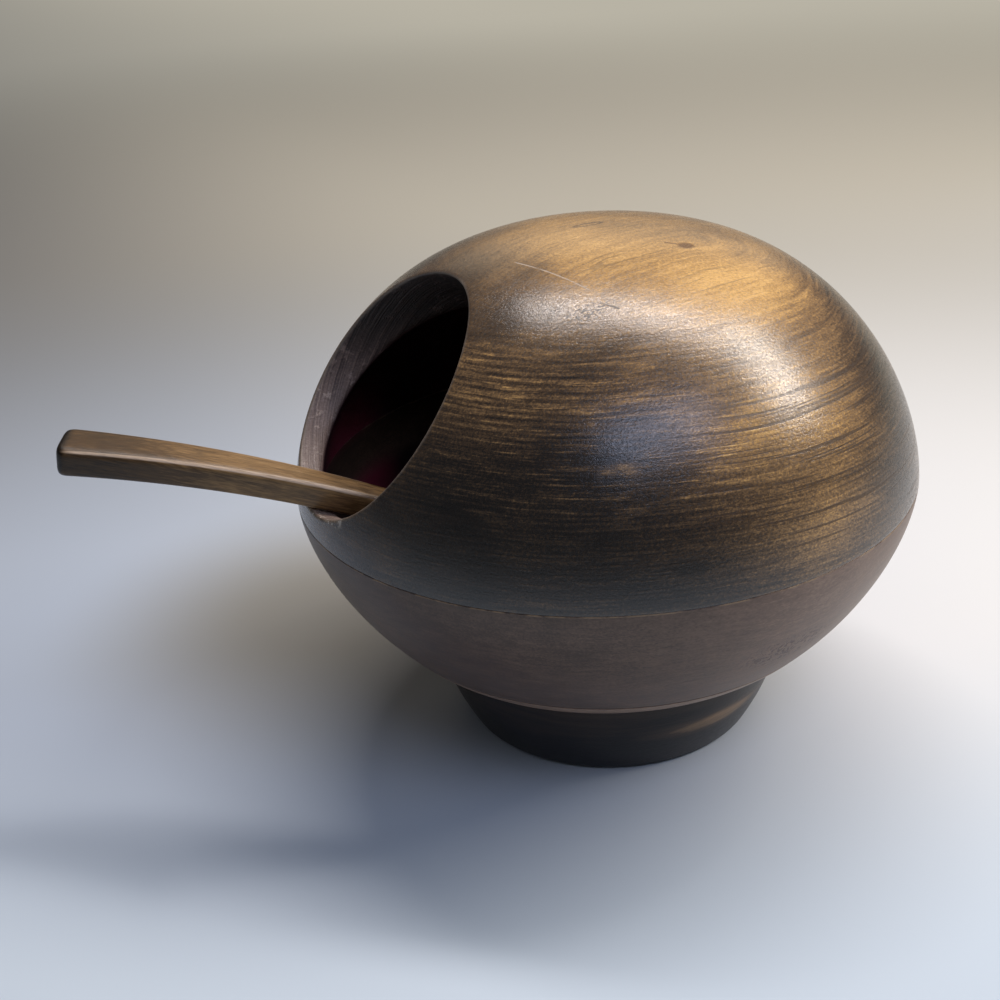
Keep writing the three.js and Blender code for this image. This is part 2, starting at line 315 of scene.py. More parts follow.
def boredDomeTree(material):
    inputs = {
        "Radius": 0.06, "Rise": 0.05, "Hollow Radius": 0.055, "Hollow Rise": 0.04, **boreInputs,
        "Outer Rounding": 0.001, "Inner Rounding": 0.002, "Seam Bevel": 0.0002, "Flow X": -0.6,
        "Flow Y": 0.02, "Wave Scale": 40.0, "Wave Depth": 0.002, "Around": 320, "Material": material,
    }
    desk, size = geometryTree("boredDome", inputs, {"Geometry": "Geometry"})
    edge = edgeTree()
    down = sum(rows.values())
    counts = {"Vertices X": size["Around"] + 1, "Vertices Y": down + 1}
    grid = desk.add("GeometryNodeMeshGrid", {}, counts)
    index = desk.add("GeometryNodeInputIndex")
    turn = maths("FLOOR", (index + 0.5) / (down + 1))
    row = index - turn * (down + 1)
    angle = turn / size["Around"] * (2 * math.pi)
    shell = (size["Radius"], size["Rise"])
    cave = (size["Hollow Radius"], size["Hollow Rise"])

    def meeting(surface, extra):
        # How far along its axis the bore's side meets a surface, and the point
        sockets = {name: size[name] for name in boreInputs}
        sockets.update({"Angle": angle, "Extra": extra, "Radius": surface[0], "Rise": surface[1]})
        along = desk.add("GeometryNodeGroup", {"node_tree": edge}, sockets)
        return along, Wire(desk, along.socket.node.outputs["Point"])

    outerAlong, outerCorner = meeting(shell, 0.0)
    innerAlong, innerCorner = meeting(cave, 0.0)
    outerStart = meeting(shell, size["Outer Rounding"])[1]
    innerStart = meeting(cave, size["Inner Rounding"])[1]

    share = {}
    first = 0
    for name, count in rows.items():
        share[name] = clamped((row - first) / count)
        first += count

    boreIn = borePoint(size, angle, innerAlong + size["Inner Rounding"], 0.0)
    boreOut = borePoint(size, angle, outerAlong - size["Outer Rounding"], 0.0)
    outward = share["outside"] ** mouth["crowding"]
    places = {
        "hollow": flowLine(size, innerStart, cave, 1.0, 1 - share["hollow"]),
        "innerEdge": rounded(split(innerStart), split(innerCorner), boreIn, share["innerEdge"]),
        "bore": [between(a, b, share["bore"]) for a, b in zip(boreIn, boreOut)],
        "outerEdge": rounded(boreOut, split(outerCorner), split(outerStart), share["outerEdge"]),
        "outside": flowLine(size, outerStart, shell, mouth["outsideEnd"], outward),
    }
    bevelled = (size["Radius"] - size["Seam Bevel"], size["Rise"])
    ring = flowLine(size, outerStart, bevelled, 1.0, 1.0)
    places["seam"] = [between(a, b, share["seam"]) for a, b in zip(places["outside"], ring)]
    places["across"] = flowLine(size, innerStart, cave, 1.0, 1.0)

    position = joined(desk, *places["across"])
    last = down - rows["across"]
    for name in reversed(list(rows)[:-1]):
        here = maths("LESS_THAN", row, last + 0.5)
        sockets = {"Switch": here, "False": position, "True": joined(desk, *places[name])}
        position = desk.add("GeometryNodeSwitch", {"input_type": "VECTOR"}, sockets)
        last -= rows[name]

    # 0 outside, 1 on the bore, 2 in the hollow
    region = 2 - share["innerEdge"] - share["outerEdge"]
    away = vectors("DISTANCE", position, outerCorner, "Value") * 1000
    touchedUp = handWorn(desk, position, size)
    shape = desk.add("GeometryNodeSetPosition", {}, {"Geometry": grid, "Position": touchedUp})
    for label, value in (("region", region), ("rimDistance", away)):
        shape = desk.add("GeometryNodeStoreNamedAttribute", {"data_type": "FLOAT", "domain": "POINT"},
                         {"Geometry": shape, "Name": label, "Value": value})
    finishTree(desk, shape, size["Material"])
    return desk.tree


def finishTree(desk, shape, material):
    shape = desk.add("GeometryNodeMergeByDistance", {}, {"Geometry": shape, "Distance": 0.000002})
    shape = desk.add("GeometryNodeSetShadeSmooth", {}, {"Geometry": shape, "Shade Smooth": True})
    shape = desk.add("GeometryNodeRealizeInstances", {}, {"Geometry": shape})
    shape = desk.add("GeometryNodeSetMaterial", {}, {"Geometry": shape, "Material": material})
    desk.add("NodeGroupOutput", {}, {"Geometry": shape})


def turningTree(material):
    # Turns a profile, given as points in order with radius as x and height as z, round the upright axis
    inputs = {
        "Profile": None, "Around": 256, "Seam Height": 0.05, "Wave Scale": 40.0, "Wave Depth": 0.002,
        "Material": material,
    }
    desk, size = geometryTree("turning", inputs, {"Geometry": "Geometry"})
    count = desk.add("GeometryNodeAttributeDomainSize", {}, {"Geometry": size["Profile"]})
    around = size["Around"] + 1
    grid = desk.add("GeometryNodeMeshGrid", {}, {"Vertices X": count, "Vertices Y": around})
    index = desk.add("GeometryNodeInputIndex")
    step = maths("FLOOR", (index + 0.5) / around)
    angle = (index - step * around) / size["Around"] * (2 * math.pi)
    position = desk.add("GeometryNodeInputPosition")
    point = desk.add("GeometryNodeSampleIndex", {"data_type": "FLOAT_VECTOR"},
                     {"Geometry": size["Profile"], "Value": position, "Index": step})
    radius, height = split(point)[::2]
    place = joined(desk, radius * maths("COSINE", angle), radius * maths("SINE", angle), height)
    touchedUp = handWorn(desk, place, size)
    shape = desk.add("GeometryNodeSetPosition", {}, {"Geometry": grid, "Position": touchedUp})
    finishTree(desk, shape, size["Material"])
    return desk.tree


def facedOut(piece):
    # Turns every face round where the closed shape came out inside out
    mesh = piece.data
    points = np.empty(len(mesh.vertices) * 3)
    mesh.vertices.foreach_get("co", points)
    points = points.reshape(-1, 3)
    mesh.calc_loop_triangles()
    corners = np.empty(len(mesh.loop_triangles) * 3, dtype=np.int32)
    mesh.loop_triangles.foreach_get("vertices", corners)
    a, b, c = (points[corners[i::3]] for i in range(3))
    volume = np.einsum("ij,ij->i", a, np.cross(b, c)).sum() / 6
    if volume < 0:
        mesh.flip_normals()
    print(piece.name, len(mesh.loop_triangles), "triangles", round(abs(volume) * 1e6, 1), "cm3")
    return piece


def softened(corners, steps=4):
    # A profile with each corner rounded by its own amount: (radius, height, rounding)
    points = []
    for i, (r, z, soft) in enumerate(corners):
        here = Vector((r, z))
        if not soft:
            points.append(here)
            continue
        before = Vector(corners[i - 1][:2])
        after = Vector(corners[i + 1][:2])
        a = here + (before - here).normalized() * soft
        b = here + (after - here).normalized() * soft
        for k in range(steps + 1):
            t = k / steps
            points.append((1 - t) ** 2 * a + 2 * t * (1 - t) * here + t * t * b)
    return points


def profileMesh(name, points):
    mesh = bpy.data.meshes.new(name)
    mesh.from_pydata([(p.x * mm, 0, p.y * mm) for p in points], [], [])
    return mesh


def bellyRadius(height):
    share = ((seam - height) / bowl["bellyReach"]) ** bowl["bellyUp"]
    return bowl["radius"] * (1 - share) ** (1 / bowl["bellyAcross"])


def lowerProfile():
    size = bowl
    low = size["underside"]
    top = bandTop
    bevel = size["seamBevel"]
    crease = top - size["crease"]
    edge = bellyRadius(low) - size["bandInset"]
    band = bellyRadius(top) - size["crease"]
    recess = footSizes["tenon"] + size["recessGap"]
    recessTop = low + footSizes["tenonRise"] + size["recessGap"]
    # The underside: the recess for the foot, and rings on the flat that keep its faces short
    corners = [(0, recessTop, 0), (recess, recessTop, 0), (recess, low, 0), (30, low, 0), (40, low, 0)]
    corners.append((edge, low, 0.5))
    # The bevelled band, swollen a little, with the crease above it
    for share in (0.2, 0.35, 0.5, 0.65, 0.8):
        swell = size["bandSwell"] * 4 * share * (1 - share)
        corners.append((edge + (band - edge) * share + swell, low + (crease - low) * share, 0))
    corners += [(band, crease, 0.18), (band - 0.15, top - 0.2, 0), (bellyRadius(top) - 0.05, top, 0.12)]
    # The belly, up to the bevel at the seam
    last = math.asin(((seam - top) / size["bellyReach"]) ** (size["bellyUp"] / 2))
    for i in range(size["bellySteps"] - 1, 0, -1):
        angle = last * i / size["bellySteps"]
        radius = size["radius"] * math.cos(angle) ** (2 / size["bellyAcross"])
        height = seam - size["bellyReach"] * math.sin(angle) ** (2 / size["bellyUp"])
        if height < seam - bevel:
            corners.append((radius, height, 0))
    corners += [(size["radius"], seam - bevel, 0), (size["radius"] - bevel, seam, 0)]
    # The hollow, down to its floor
    for i in range(size["hollowSteps"] + 1):
        angle = i / size["hollowSteps"] * math.pi / 2
        radius = hollowRadius * math.cos(angle) ** (2 / size["hollowAcross"])
        fall = (seam - hollowFloor) * math.sin(angle) ** (2 / size["hollowUp"])
        corners.append((radius if i < size["hollowSteps"] else 0, seam - fall, 0))
    return softened(corners)


footSizes = {
    "base": 31.3, "top": 38.5, "bulge": 1.3, "edge": 0.8, "tenon": 18.0, "tenonRise": 2.4, "steps": 40,
}


def footProfile():
    size = footSizes
    top = bowl["underside"]
    tenonTop = top + size["tenonRise"]
    slope = (size["top"] - size["base"]) / top
    # The points at 15, 28 and 30 keep the flat faces short
    corners = [(0, 0, 0), (15, 0, 0), (28, 0, 0), (size["base"] - size["edge"], 0, 0.5)]
    for i in range(size["steps"] + 1):
        share = i / size["steps"]
        height = size["edge"] + (top - size["edge"]) * share
        swell = size["bulge"] * 4 * share * (1 - share)
        corners.append((size["base"] + slope * height + swell, height, 0))
    corners += [(30, top, 0), (size["tenon"], top, 0), (size["tenon"], tenonTop, 0), (0, tenonTop, 0)]
    return softened(corners)


# The spoon: sections along the middle line of its upper face, 0 at the lip, positive outwards.
# Its reach is 0.01 mm short of the solid's, so that its end stays inside the solid's box.

spoonSizes = {
    "reach": 45.49, "arc": 290.0, "endWidth": 10.4, "endThickness": 6.0, "neckWidth": 5.6,
    "neckThickness": 5.6, "neckInside": 14.0, "squareness": 5.0, "corner": 2.2, "endSoft": 0.9,
    "scoopLength": 38.0, "scoopWidth": 28.0, "scoopDepth": 10.0, "scoopWall": 2.2, "scoopInside": 57.0,
    "scoopLevel": 18.0, "shoulder": 9.0,
    "place": (-62.96, 3.9, 67.081), "heading": 156.5, "pitch": 17.97, "roll": 4.892,
    "sections": 150, "scoopSections": 56, "round": 36,
    "endRings": (0.2, 0.4, 0.55, 0.7, 0.8, 0.88, 0.94, 0.98, 1), "capRings": (0.6, 0.2),
}


def smoothShare(value, low, high):
    share = min(max((value - low) / (high - low), 0), 1)
    return share * share * (3 - 2 * share)


def spoonTurn(along):
    size = spoonSizes
    arch = -max(along, -size["scoopInside"]) / size["arc"]
    level = smoothShare(-along, size["neckInside"], size["scoopInside"] + size["shoulder"])
    return arch - math.radians(size["scoopLevel"]) * level


def spoonLine(along):
    steps = 64
    turns = [spoonTurn(along * (i + 0.5) / steps) for i in range(steps)]
    step = along / steps
    return step * sum(math.cos(turn) for turn in turns), step * sum(math.sin(turn) for turn in turns)


def bowed(value, exponent):
    return math.copysign(abs(value) ** exponent, value)


def roundedOff(along, depth):
    # How far the quarter round at the handle's end has come in
    past = min(max(along - (spoonSizes["reach"] - depth), 0), depth)
    return depth - math.sqrt(depth ** 2 - past ** 2)


def handlePoint(along, angle):
    size = spoonSizes
    share = max((along + size["neckInside"]) / (size["reach"] + size["neckInside"]), 0)
    width = size["neckWidth"] + (size["endWidth"] - size["neckWidth"]) * share
    thickness = size["neckThickness"] + (size["endThickness"] - size["neckThickness"]) * share
    corner = roundedOff(along, size["corner"])
    thin = roundedOff(along, size["endSoft"])
    x = (width / 2 - corner) * bowed(math.cos(angle), 2 / size["squareness"])
    y = thickness / 2 * (bowed(math.sin(angle), 2 / size["squareness"]) - 1)
    middle = -thickness / 2
    return x, middle + (y - middle) * (1 - thin / thickness * 2)


def scoopPoint(along, angle):
    size = spoonSizes
    half = size["scoopLength"] / 2
    fromMiddle = along + size["scoopInside"] + half
    outer = math.sqrt(max(0, 1 - (fromMiddle / half) ** 2))
    inner = math.sqrt(max(0, 1 - (fromMiddle / (half - size["scoopWall"])) ** 2))
    outerHalf = size["scoopWidth"] / 2 * outer
    if math.sin(angle) < 0:
        return outerHalf * math.cos(angle), size["scoopDepth"] * outer * math.sin(angle)
    innerHalf = outerHalf - min(size["scoopWall"], outerHalf * 0.4)
    deep = (size["scoopDepth"] - size["scoopWall"]) * inner
    return innerHalf * math.cos(angle), -deep * math.sin(angle)


def spoonSection(along):
    size = spoonSizes
    inside = size["scoopInside"]
    scooped = smoothShare(-along, inside - size["shoulder"] / 2, inside + size["shoulder"] / 2)
    lineX, lineY = spoonLine(along)
    turn = spoonTurn(along)
    section = []
    count = size["round"] + 1
    for side in (0, 1):
        for i in range(count):
            angle = math.pi * (side + (i + 0.5) / count)
            stickX, stickY = handlePoint(max(along, -inside), angle)
            scoopX, scoopY = scoopPoint(along, angle)
            x = stickX + (scoopX - stickX) * scooped
            y = stickY + (scoopY - stickY) * scooped
            section.append((lineX - y * math.sin(turn), x, lineY + y * math.cos(turn)))
    return section


def spoonPlaces():
    # Where the sections stand: close together at the scoop's tip and at the handle's rounded end
    size = spoonSizes
    half = size["scoopLength"] / 2
    middle = -(size["scoopInside"] + half)
    turns = np.linspace(0.03, 1, size["scoopSections"])
    places = [middle - half * math.cos(math.pi * turn) for turn in turns]
    straight = np.linspace(-size["scoopInside"], size["reach"] - size["corner"], size["sections"])
    places += list(straight)[1:]
    places += [size["reach"] - size["corner"] * (1 - share) for share in size["endRings"]]
    return places


def spoonPiece(material):
    size = spoonSizes
    rings = [spoonSection(along) for along in spoonPlaces()]
    count = len(rings[0])
    points = [p for ring in rings for p in ring]
    faces = []
    for s in range(len(rings) - 1):
        for i in range(count):
            j = (i + 1) % count
            faces.append((s * count + i, s * count + j, (s + 1) * count + j, (s + 1) * count + i))
    for s in (0, len(rings) - 1):
        centre = np.mean(rings[s], axis=0)
        start = s * count
        for shrink in size["capRings"]:
            base = len(points)
            points += [tuple(centre + (np.array(p) - centre) * shrink) for p in rings[s]]
            for i in range(count):
                j = (i + 1) % count
                faces.append((start + j, start + i, base + i, base + j))
            start = base
        points.append(tuple(centre))
        for i in range(count):
            faces.append((start + (i + 1) % count, start + i, len(points) - 1))
    mesh = bpy.data.meshes.new("spoon")
    mesh.from_pydata(points, [], faces)
    # The grain follows the spoon as it was before it was laid in the mouth
    flat = mesh.attributes.new("flat", "FLOAT_VECTOR", "POINT")
    flat.data.foreach_set("vector", np.array(points, dtype=np.float32).ravel())
    lie = Matrix.Translation(Vector(size["place"]))
    for name, way, axis in (("heading", 1, "Z"), ("pitch", -1, "Y"), ("roll", -1, "X")):
        lie = lie @ Matrix.Rotation(way * math.radians(size[name]), 4, axis)
    mesh.transform(Matrix.Scale(mm, 4) @ lie)
    mesh.polygons.foreach_set("use_smooth", [True] * len(mesh.polygons))
    mesh.update()
    mesh.set_sharp_from_angle(angle=math.radians(60))
    mesh.materials.append(material)
    piece = bpy.data.objects.new("carvedSpoon", mesh)
    bpy.context.collection.objects.link(piece)
    return recalculated(piece)


def recalculated(piece):
    work = bmesh.new()
    work.from_mesh(piece.data)
    bmesh.ops.recalc_face_normals(work, faces=work.faces)
    work.to_mesh(piece.data)
    work.free()
    return facedOut(piece)


# Finishes

def newMaterial(name):
    material = bpy.data.materials.new(name)
    material.use_nodes = True
    material.node_tree.nodes.clear()
    return material, Desk(material.node_tree)


def inMillimetres(desk):
    place = desk.add("ShaderNodeTexCoord", {}, {}, "Object")
    return desk.add("ShaderNodeMapping", {}, {"Vector": place, "Scale": (1000, 1000, 1000)})


def stretched(position, x, y, z):
    return vectors("MULTIPLY", position, (x, y, z))


def patch(position, centre, reach, edge=0.5):
    # 1 at the centre of an oval place on the wood, 0 outside it
    gone = vectors("MULTIPLY", vectors("SUBTRACT", position, centre), tuple(1 / r for r in reach))
    away = gone.desk.add("ShaderNodeVectorMath", {"operation": "LENGTH"}, {0: gone}, "Value")
    return eased(away, 1 + edge, 1 - edge)


def mixed(share, a, b):
    desk = share.desk
    four = [value if isinstance(value, Wire) else (*value, 1) for value in (a, b)]
    return desk.add("ShaderNodeMix", {"data_type": "RGBA"}, {0: share, 6: four[0], 7: four[1]}, 2)


def toned(value, stops):
    return value.desk.add("ShaderNodeValToRGB", {"stops": stops}, {"Fac": value})


def attribute(desk, name, output="Fac"):
    return desk.add("ShaderNodeAttribute", {"attribute_name": name}, {}, output)


def finishWood(desk, colour, roughness, height, look):
    relief = {"Height": height, "Strength": look["bump"], "Distance": look["depth"] * mm}
    bump = desk.add("ShaderNodeBump", {}, relief)
    sockets = {"Base Color": colour, "Roughness": roughness, "Normal": bump, "IOR": look["gloss"],
               "Coat Weight": look["coat"], "Coat Roughness": look["coatRoughness"]}
    shader = desk.add("ShaderNodeBsdfPrincipled", {}, sockets)
    desk.add("ShaderNodeOutputMaterial", {}, {"Surface": shader})


def hollowReddened(place, colour):
    # Makes a patch low in the hollow, across from the mouth, dark red
    glow = patch(place, (-42, 40, 56), (13, 13, 12), 0.6)
    return mixed(glow, colour, (0.34, 0.035, 0.07))


def scratch(place, start, end, width):
    # 1 along a thin straight line on the wood, 0 beside it
    ray = Vector(end) - Vector(start)
    gone = vectors("SUBTRACT", place, start)
    share = clamped(vectors("DOT_PRODUCT", gone, tuple(ray / ray.length_squared), "Value"))
    sockets = {0: tuple(ray), "Scale": share}
    nearest = gone.desk.add("ShaderNodeVectorMath", {"operation": "SCALE"}, sockets)
    away = vectors("DISTANCE", gone, nearest, "Value")
    return eased(away, width, width * 0.35)


upperLook = {
    "bump": 1.0, "depth": 0.1, "gloss": 1.6, "coat": 0.3, "coatRoughness": 0.42,
    "stops": [(0.0, (0.004, 0.003, 0.002)), (0.28, (0.020, 0.013, 0.009)), (0.5, (0.100, 0.058, 0.029)),
              (0.7, (0.30, 0.175, 0.075)), (0.86, (0.60, 0.345, 0.122)), (1.0, (0.90, 0.55, 0.20))],
    "wallStops": [(0.0, (0.012, 0.008, 0.007)), (0.35, (0.08, 0.052, 0.042)),
                  (0.7, (0.30, 0.205, 0.165)), (1.0, (0.60, 0.46, 0.38))],
    "hollowStops": [(0.3, (0.03, 0.012, 0.012)), (0.6, (0.09, 0.018, 0.028))],
    "pore": (0.050, 0.024, 0.009), "knot": (0.12, 0.045, 0.012), "pit": (0.020, 0.010, 0.005),
    "scar": (0.62, 0.50, 0.40), "rimHighlight": (0.26, 0.20, 0.15), "chipped": (0.75, 0.66, 0.54),
}

# Lighter and darker places of the staining, one of them a painted shade: middle and reach in
# millimetres, softness, change of tone
upperStainsAndShade = {
    "gold": ((8, -10, 104), (38, 34, 13), 0.5, 0.36),
    "goldRight": ((10, -58, 72), (26, 18, 15), 0.5, 0.20),
    "goldMid": ((10, -42, 88), (24, 20, 15), 0.5, 0.20),
    "band": ((-34, -30, 89), (22, 24, 7), 0.45, 0.09),
    "paler": ((-11, -55, 77), (12, 8, 7), 0.6, 0.10),
    "dark": ((-32, -46, 70), (34, 30, 15), 0.5, -0.20),
    # Painted shade: the lower left cheek made darker
    "paintedShadeLeft": ((-56, -26, 62), (18, 24, 13), 0.5, -0.15),
    "edge": ((38, -50, 76), (17, 18, 19), 0.5, -0.13),
    "lowEdge": ((30, -56, 60), (14, 12, 10), 0.5, -0.10),
    "crown": ((24, 2, 102), (22, 20, 16), 0.5, -0.10),
    "dim": ((-8, -40, 93), (16, 10, 5), 0.6, -0.05),
    "dimLeft": ((-28, -9, 100), (13, 16, 8), 0.5, -0.15),
    "dimLow": ((-30, -54, 58), (28, 16, 6), 0.5, -0.07),
}

# Small marks: middle, reach and softness
upperMarks = {
    "paleLines": ((-28, -46, 78), (32, 24, 6), 0.5),
    "pits": ((-17.5, -28.4, 98.8), (5, 2.2, 4), 0.6),
    "knot": ((10.2, -16.6, 103.3), (1.7, 1.3, 2), 0.35),
    "ringOutside": ((0.4, 3.4, 104.8), (3.4, 1.2, 3), 0.15),
    "ringInside": ((0.4, 3.4, 104.8), (2.5, 0.6, 3), 0.25),
    "scuff": ((-24.6, -50.5, 78.0), (3.2, 2.4, 2.0), 0.7),
    "smear": ((-23.7, -54.4, 72.5), (7, 4, 1.6), 0.8),
    "chips": ((-62, -3, 61.5), (5, 11, 4), 0.5),
}

# Straight marks: start, end and width
upperLines = {
    "nick": ((-15.0, -26.8, 100.2), (-12.3, -30.4, 99.0), 0.32),
    "knotTail": ((7.2, -14.2, 103.8), (9.4, -16.0, 103.5), 0.3),
    "scarStart": ((-20.1, -5.8, 103.0), (-17.3, -14.4, 102.6), 0.22),
    "scarEnd": ((-17.3, -14.4, 102.6), (-14.3, -23.8, 101.0), 0.22),
}


def upperGrain(place):
    # The patterns that the stain, the marks, the gloss and the relief read
    desk = place.desk
    x, y, z = split(place)
    slow = noise(place, 0.02)
    waver = noise(stretched(place, 0.5, 0.5, 1.0), 0.09)
    # The layers of the wood lie nearly level, and dip a little towards +X
    level = z + larger(x + 10, 0.0) * 0.05 + varied(slow, 1.4) + varied(waver, 0.5)
    streak = noise(joined(desk, x * 0.010, y * 0.014, level), 0.6, 4.0, 0.68)
    # On the top they run along a slant and turn back round its end
    lineX = x + (y + 14) * 0.18 - 14
    lineY = y - x * 0.18 + 16.5
    past = larger(lineX, 0.0) * 0.75
    curl = maths("SQRT", lineY * lineY + past * past + 4) + varied(waver, 5) + varied(slow, 5)
    return SimpleNamespace(
        streak=streak,
        fine=noise(joined(desk, x * 0.04, y * 0.05, level), 2.3, 3.0, 0.7),
        turned=maths("SINE", level * 6.6 + varied(streak, 7)),
        dash=noise(joined(desk, x * 0.03, y * 0.032, level * 1.5), 1.0, 1.0),
        topLine=noise(joined(desk, x * 0.018, curl, z * 0.4), 0.8, 4.0, 0.68),
        topPore=noise(joined(desk, x * 0.035, curl * 3.4, z * 0.4), 1.1, 1.0),
        dots=noise(joined(desk, x * 0.8, y * 1.2, z * 1.2), 1.9, 2.0, 0.7),
        grit=noise(joined(desk, x * 0.8, y * 1.1, z * 1.1), 2.5, 2.0, 0.8),
        cloud=noise(place, 0.035, 3.0, 0.55),
        blotch=noise(stretched(place, 0.5, 1.0, 1.3), 0.13, 4.0, 0.62),
        onTop=eased(z, 91, 100),
    )


def upperTone(grain, stainAndShade, mark):
    # How light the stained wood is, from 0 to 1
    tone = 0.46 + varied(grain.cloud, 0.26) + varied(grain.blotch, 0.26)
    for name, spot in upperStainsAndShade.items():
        tone = tone + stainAndShade[name] * spot[3]
    side = varied(grain.streak, 0.18) + varied(grain.fine, 0.72)
    side = side + grain.turned * (0.02 + stainAndShade["band"] * 0.05)
    side = side * (1 - larger(stainAndShade["goldRight"], stainAndShade["goldMid"]) * 0.3)
    top = varied(grain.topLine, 0.28) + varied(grain.fine, 0.12)
    tone = tone + between(side, top, grain.onTop)
    tone = tone + varied(grain.dots, 0.3) + varied(grain.grit, 0.7 - grain.onTop * 0.2)
    pale = eased(grain.fine, 0.56, 0.68) * larger(mark["paleLines"], stainAndShade["band"] * 0.8)
    ring = larger(mark["ringOutside"] - mark["ringInside"], 0.0)
    return tone + pale * 0.16 - ring * 0.2 + mark["scuff"] * 0.3 + mark["smear"] * 0.16


def upperPores(grain, stainAndShade):
    # Dark dashes along the grain, most of them at the right
    many = clamped(0.10 + stainAndShade["goldRight"] * 0.9 + stainAndShade["edge"] * 0.8 + stainAndShade["goldMid"] * 0.2)
    side = eased(grain.dash, 0.57, 0.64) * many * (1 - grain.onTop)
    return clamped(side + eased(grain.topPore, 0.61, 0.70) * grain.onTop * 0.5)


def upperWood():
    material, desk = newMaterial("upperWood")
    look = upperLook
    place = inMillimetres(desk)
    x, y, z = split(place)
    grain = upperGrain(place)
    stainAndShade = {name: patch(place, *spot[:3]) for name, spot in upperStainsAndShade.items()}
    mark = {name: patch(place, *spot) for name, spot in upperMarks.items()}
    line = {name: scratch(place, *ends) for name, ends in upperLines.items()}
    mark["scuff"] = mark["scuff"] * eased(grain.blotch, 0.38, 0.6)
    mark["smear"] = mark["smear"] * eased(grain.blotch, 0.45, 0.65)
    tone = upperTone(grain, stainAndShade, mark)
    pore = upperPores(grain, stainAndShade)
    pits = noise(stretched(place, 0.8, 1.4, 1.4), 1.6, 1.0)
    pitted = eased(pits, 0.51, 0.58) * mark["pits"]
    dug = larger(pitted, line["nick"])
    knot = larger(mark["knot"], line["knotTail"])
    scar = larger(line["scarStart"], line["scarEnd"]) * eased(grain.blotch, 0.34, 0.5)
    outside = mixed(pore * 0.8, toned(tone, look["stops"]), look["pore"])
    outside = mixed(knot * 0.85, outside, look["knot"])
    outside = mixed(dug * 0.85, outside, look["pit"])
    outside = mixed(scar * 0.85, outside, look["scar"])

    # The mouth's wall has turned rings and torn grain, and is painted darker upwards as painted shade
    region = attribute(desk, "region")
    inWall = eased(region, 0.35, 0.75)
    inHollow = eased(region, 1.2, 1.8)
    tilt = math.radians(mouth["tilt"])
    along = x * -math.cos(tilt) + z * math.sin(tilt)
    rings = noise(joined(desk, x * 0.02, y * 0.02, along + varied(grain.blotch, 0.6)), 2.6, 3.0, 0.6)
    torn = eased(noise(place, 0.42, 4.0, 0.65), 0.54, 0.66)
    wallTone = 0.66 + varied(rings, 1.1) + varied(grain.cloud, 0.3) + varied(grain.grit, 0.5)
    # Painted shade: darker towards the top of the mouth
    wallTone = wallTone + torn * 0.25 - eased(z, 72, 90) * 0.65
    # Painted shade: the hollow inside the dome is made nearly black
    hollow = hollowReddened(place, toned(grain.cloud, look["hollowStops"]))
    colour = mixed(inWall, outside, toned(wallTone, look["wallStops"]))
    colour = mixed(inHollow, colour, hollow)

    # The rim is painted pale all round as a painted edge highlight, and chipped at its lowest place
    rim = attribute(desk, "rimDistance")
    # Painted highlight: a pale line along the rounded rim
    rimHighlight = eased(rim + varied(grain.blotch, 1.2), 0.95, 0.2) * (0.3 + grain.fine * 0.8)
    chipped = eased(rim, 2.2, 0.4) * eased(noise(place, 0.9, 3.0, 0.7), 0.53, 0.62) * mark["chips"]
    colour = mixed(clamped(rimHighlight), colour, look["rimHighlight"])
    colour = mixed(chipped, colour, look["chipped"])

    # Grit is glossier where it is lighter, which makes the highlight sparkle
    roughness = 0.21 + varied(grain.dots, 0.25) + varied(grain.cloud, 0.12) - varied(grain.grit, 0.9)
    roughness = roughness + inWall * 0.3 + mark["scuff"] * 0.2 + pore * 0.15 + dug * 0.15
    relief = varied(grain.streak, 0.12) + varied(grain.fine, 0.3) + varied(grain.dots, 0.3)
    relief = relief + varied(grain.grit, 0.35) - pore * 0.1 - pitted * 0.05 - line["nick"] * 0.2
    relief = relief - knot * 0.4 - scar * 0.4 - chipped * 0.8
    relief = relief + inWall * (varied(rings, 2.2) + torn * 0.9)
    finishWood(desk, colour, roughness, relief, look)
    return material


lowerLook = {
    "bump": 0.6, "depth": 0.08, "gloss": 1.45, "coat": 0.1, "coatRoughness": 0.35,
    "stops": [(0.0, (0.010, 0.006, 0.004)), (0.4, (0.066, 0.038, 0.024)), (0.7, (0.19, 0.115, 0.078)),
              (1.0, (0.40, 0.27, 0.19))],
    "pit": (0.07, 0.022, 0.018), "hollow": (0.014, 0.007, 0.007), "glue": (0.40, 0.26, 0.14),
}


